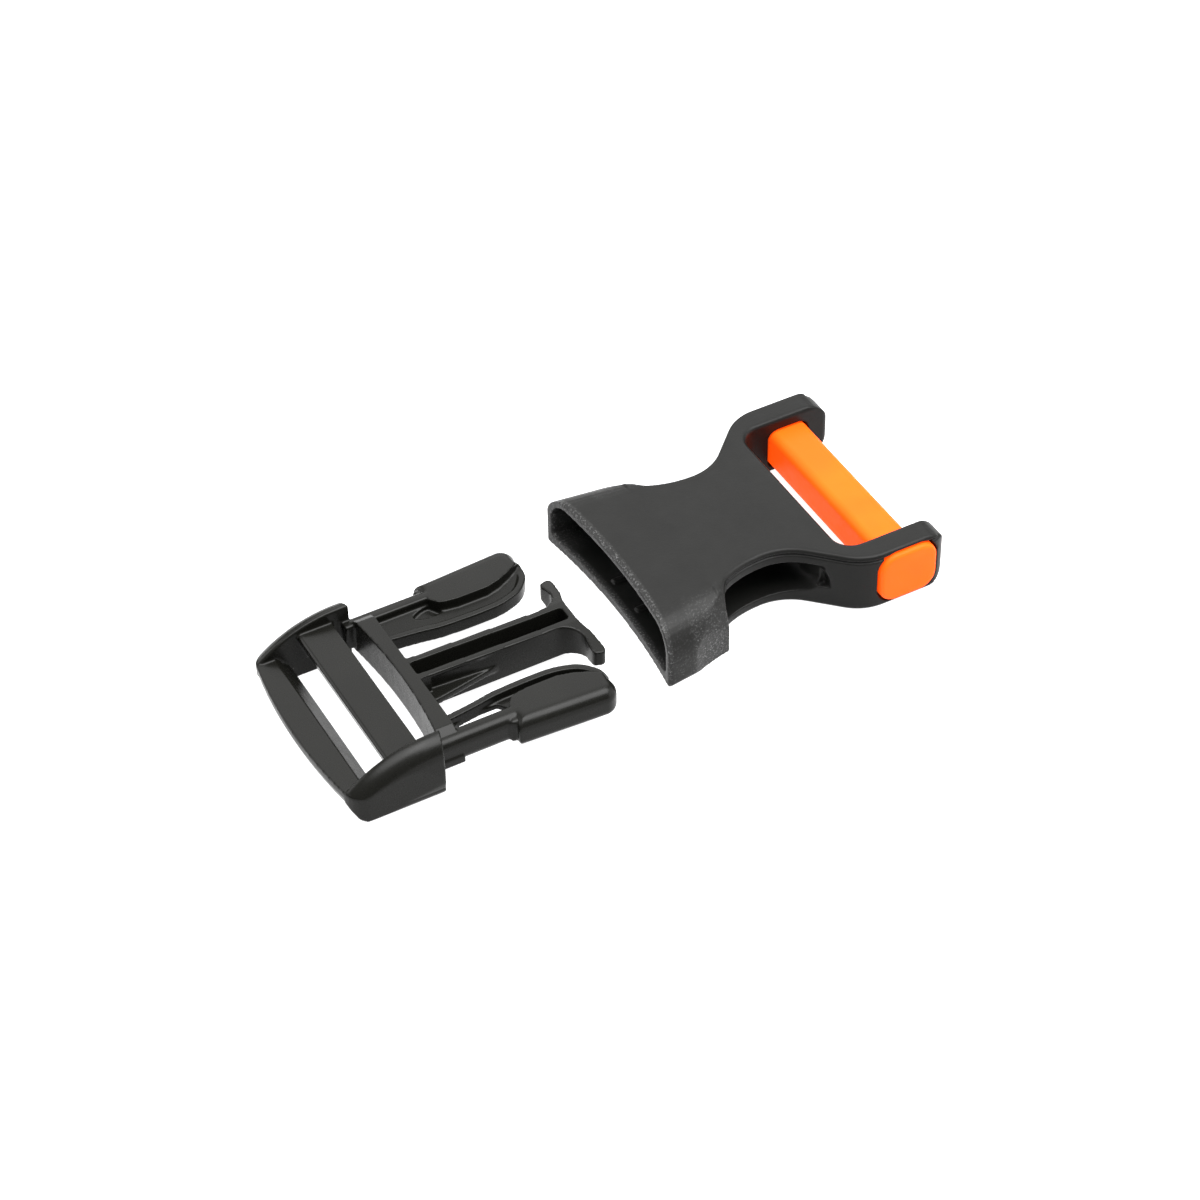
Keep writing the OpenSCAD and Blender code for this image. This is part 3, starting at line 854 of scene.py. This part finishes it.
class BUCKLE_OT_latch_arms(bpy.types.Operator):
    """Model the two latch arms, which bend at their roots in the plug's cross bar"""
    bl_idname = "buckle.latch_arms"
    bl_label = "Latch Arms"

    def execute(self, context):
        size = context.scene.buckle_plug
        look = context.scene.buckle_finishes
        material = grained_acetal("satin_black_acetal_arms", look.plug_colour, look.grain,
                                  rough=0.26, depth=0.003 * MM, scuff=0.05)
        origin = plug_origin()
        radius = 4.0
        lens = arc((10.5, 7.35), radius, 52, 128, 8) + arc((10.5, 13.6), radius, 232, 308, 8)
        window = [(3.6, 10.6), (3.9, 9.3), (4.6, 8.9), (6.2, 8.55), (7.6, 8.35), (10.6, 8.35),
                  (11.4, 9.5), (11.0, 11.0), (10.2, 12.2), (3.7, 12.2)]
        for side, name, tilt, web_top, opening, blind in ((1, "left", 11, 4.75, lens, True),
                                                          (-1, "right", 0, 4.2, window, False)):
            arm = self.arm(size, tilt, web_top, opening, blind)
            if side < 0:
                arm.scale.y = -1
                apply_place(arm)
                bpy.ops.object.mode_set(mode="EDIT")
                bpy.ops.mesh.select_all(action="SELECT")
                bpy.ops.mesh.normals_make_consistent(inside=False)
                object_mode()
            mould(arm, cell=0.14, passes=4, keep=0.35)
            body = "latch_arm_" + name
            arm.location = origin
            apply_place(arm)
            arm.name = arm.data.name = body + "_moulding"
            arm.data.materials.clear()
            arm.data.materials.append(material)
            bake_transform(arm)
            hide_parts(body)
        return {"FINISHED"}

    def arm(self, size, web_tilt, web_top, opening, blind):
        """One arm on the +y side: beam, pad, thin inner rib and the web between them, which has
        an opening that is blind where a thin pan closes it from below."""
        front = size.arm_length / MM
        pad = size.pad_width / MM / 2
        low, high = 2.3, 6.6
        tip_radius = 2.1
        rib_width = 0.95
        web_thickness = 0.9
        edge = ([(12.5, 9.85), (14.3, 9.6), (18.6, 9.6), (20.6, 10.1), (22.4, 10.9), (23.8, 11.7),
                 (front - 0.5, 12.3)]
                + arc((front - 2.3, pad - 2.3), tip_radius, 0, 86, 10)
                + [(10.4, pad - 0.95), (10.4, 12.4), (10.9, 11.2), (11.7, 10.2)])
        thumb = prism("pad", edge, "Z", low, high)
        # Only the outer edges are rounded, the upper ones more
        for level, radius in ((low, 1.1), (high, 1.7)):
            round_edges(thumb, lambda a, b: abs(a.z - level) < 0.01 and abs(b.z - level) < 0.01
                        and min(a.y, b.y) > 12.2, radius, 7)
        step = block("step", (9.7, 12.4, 2.6), (11.0, 14.2, 6.2))
        round_edges(step, lambda a, b: min(a.y, b.y) > 14.1 or max(a.x, b.x) < 9.8, 0.5)
        root = prism("root", [(11.6, 9.9), (13, 9.9), (13, 13), (10.6, 13), (10.6, 11.9)],
                     "Z", 2.6, 4.3)
        inner = smooth_run([(2.4, 8.1), (7.3, 7.5), (10.4, 6.98), (13.2, 6.83), (16, 6.75),
                            (19.2, 6.9), (21.5, 7.5), (22.8, 8.15), (23.9, 9.2), (24.7, 10.5),
                            (front - 0.1, 12.3)])
        rib = prism("rib", inner + beside(inner, rib_width), "Z", 3.3, 5.4)
        # The web is drawn flat, and tilts about a line along the arm
        line = 8.0
        sheet = inner + [(front - 0.4, 13), (16, 13), (2.4, 13)]
        web = prism("web", [(u, y - line) for u, y in sheet], "Z", -web_thickness, 0)
        slot = prism("slot", [(u, y - line) for u, y in opening], "Z", -5, 9)
        combine(web, [slot], "DIFFERENCE")
        if blind:
            join(web, [block("pan", (7.6, 1.8, -web_thickness), (13.4, 4.4, -0.6))])
        turn_and_move(web, (0, line, web_top), (web_tilt, "X"))
        return join(beam("beam", 2.4, 12.5), [thumb, step, root, web, rib])


class BUCKLE_OT_stage(bpy.types.Operator):
    """Set up the pale floor, the soft studio light and the camera"""
    bl_idname = "buckle.stage"
    bl_label = "Stage"

    def execute(self, context):
        self.floor(context.scene.buckle_finishes)
        self.world(context.scene)
        self.camera(context.scene)
        context.scene.view_settings.view_transform = "Standard"
        return {"FINISHED"}

    def floor(self, look):
        """A plain glowing sheet, much larger than the buckle, that leaves almost no shadow."""
        sheet_width = 3.0
        drop = 0.02 * MM
        paint = 0.3
        glow = 0.95
        object_mode()
        bpy.ops.mesh.primitive_plane_add(size=sheet_width, location=(0, 0, -drop))
        floor = bpy.context.object
        floor.name = "studio_floor"
        # Opal acrylic lit from behind: an even white without gloss
        material, tree, shader = new_material("light_table_acrylic")
        white = linear(look.floor_colour)
        shader.inputs["Base Color"].default_value = [paint * part for part in white[:3]] + [1.0]
        shader.inputs["Roughness"].default_value = 0.9
        shader.inputs["Specular IOR Level"].default_value = 0.0
        shader.inputs["Emission Color"].default_value = white
        shader.inputs["Emission Strength"].default_value = glow
        floor.data.materials.append(material)

    def world(self, scene):
        """A dim room, lighter towards its ceiling, with soft boxes overhead, behind and low
        down on two sides."""
        world = bpy.data.worlds.new("soft_box_room")
        scene.world = world
        world.use_nodes = True
        tree = world.node_tree
        tree.nodes.clear()
        way = node(tree, "ShaderNodeTexCoord").outputs["Generated"]
        height = node(tree, "ShaderNodeSeparateXYZ", {"Vector": way}).outputs["Z"]
        total = node(tree, "ShaderNodeMapRange", {
            "Value": height, "From Min": 0.0, "From Max": 0.8, "To Min": 0.15, "To Max": 0.8,
        }).outputs["Result"]
        for aim, edge, core, strength in SOFT_BOXES:
            near = node(tree, "ShaderNodeVectorMath", {0: way, 1: Vector(aim).normalized()},
                        operation="DOT_PRODUCT")
            box = node(tree, "ShaderNodeMapRange", {
                "Value": near.outputs["Value"], "From Min": edge, "From Max": core,
                "To Min": 0.0, "To Max": strength}, interpolation_type="SMOOTHSTEP")
            total = node(tree, "ShaderNodeMath", {0: total, 1: box.outputs["Result"]},
                         operation="ADD").outputs["Value"]
        back = node(tree, "ShaderNodeBackground", {"Color": (1, 1, 1, 1), "Strength": total})
        out = node(tree, "ShaderNodeOutputWorld")
        tree.links.new(back.outputs["Background"], out.inputs["Surface"])

    def camera(self, scene):
        """The photograph's own view: a long lens, looking down across the buckle."""
        azimuth, elevation, roll = -27.99, 42.84, -1.27
        aim = Vector((3.29, 3.99, 0.0)) * MM
        distance = 447.73 * MM
        object_mode()
        bpy.ops.object.camera_add()
        camera = bpy.context.object
        camera.name = "photo_view"
        camera.data.sensor_width = 36.0
        camera.data.lens = 100.5
        turn = (Matrix.Rotation(math.radians(azimuth), 4, "Z")
                @ Matrix.Rotation(math.radians(90 - elevation), 4, "X")
                @ Matrix.Rotation(math.radians(roll), 4, "Z"))
        away = Matrix.Translation((0, 0, distance))
        camera.matrix_world = Matrix.Translation(aim) @ turn @ away
        camera.data.clip_start = 0.01
        camera.data.clip_end = 20.0
        scene.camera = camera


class BUCKLE_PT_panel(bpy.types.Panel):
    """Sizes, finishes and steps of the buckle"""
    bl_label = "Buckle"
    bl_idname = "BUCKLE_PT_panel"
    bl_space_type = "VIEW_3D"
    bl_region_type = "UI"
    bl_category = "Buckle"

    def draw(self, context):
        layout = self.layout
        for group in SETTINGS:
            box = layout.box()
            for key in getattr(context.scene, group).bl_rna.properties.keys():
                if key not in ("rna_type", "name"):
                    box.prop(getattr(context.scene, group), key)
        for operator in OPERATORS:
            layout.operator(operator.bl_idname)


SETTINGS = {
    "buckle_socket": SocketSizes,
    "buckle_bar": BarSizes,
    "buckle_plug": PlugSizes,
    "buckle_finishes": Finishes,
}
OPERATORS = (BUCKLE_OT_socket, BUCKLE_OT_strap_bar, BUCKLE_OT_plug, BUCKLE_OT_latch_arms,
             BUCKLE_OT_stage)


def register():
    for item in (*SETTINGS.values(), *OPERATORS, BUCKLE_PT_panel):
        bpy.utils.register_class(item)
    for name, group in SETTINGS.items():
        setattr(bpy.types.Scene, name, PointerProperty(type=group))


def unregister():
    for name in SETTINGS:
        delattr(bpy.types.Scene, name)
    for item in reversed((*SETTINGS.values(), *OPERATORS, BUCKLE_PT_panel)):
        bpy.utils.unregister_class(item)


def main():
    """Registers the add-on and models every piece and the stage."""
    register()
    bpy.ops.buckle.socket()
    bpy.ops.buckle.strap_bar()
    bpy.ops.buckle.plug()
    bpy.ops.buckle.latch_arms()
    bpy.ops.buckle.stage()


if __name__ == "__main__":
    main()
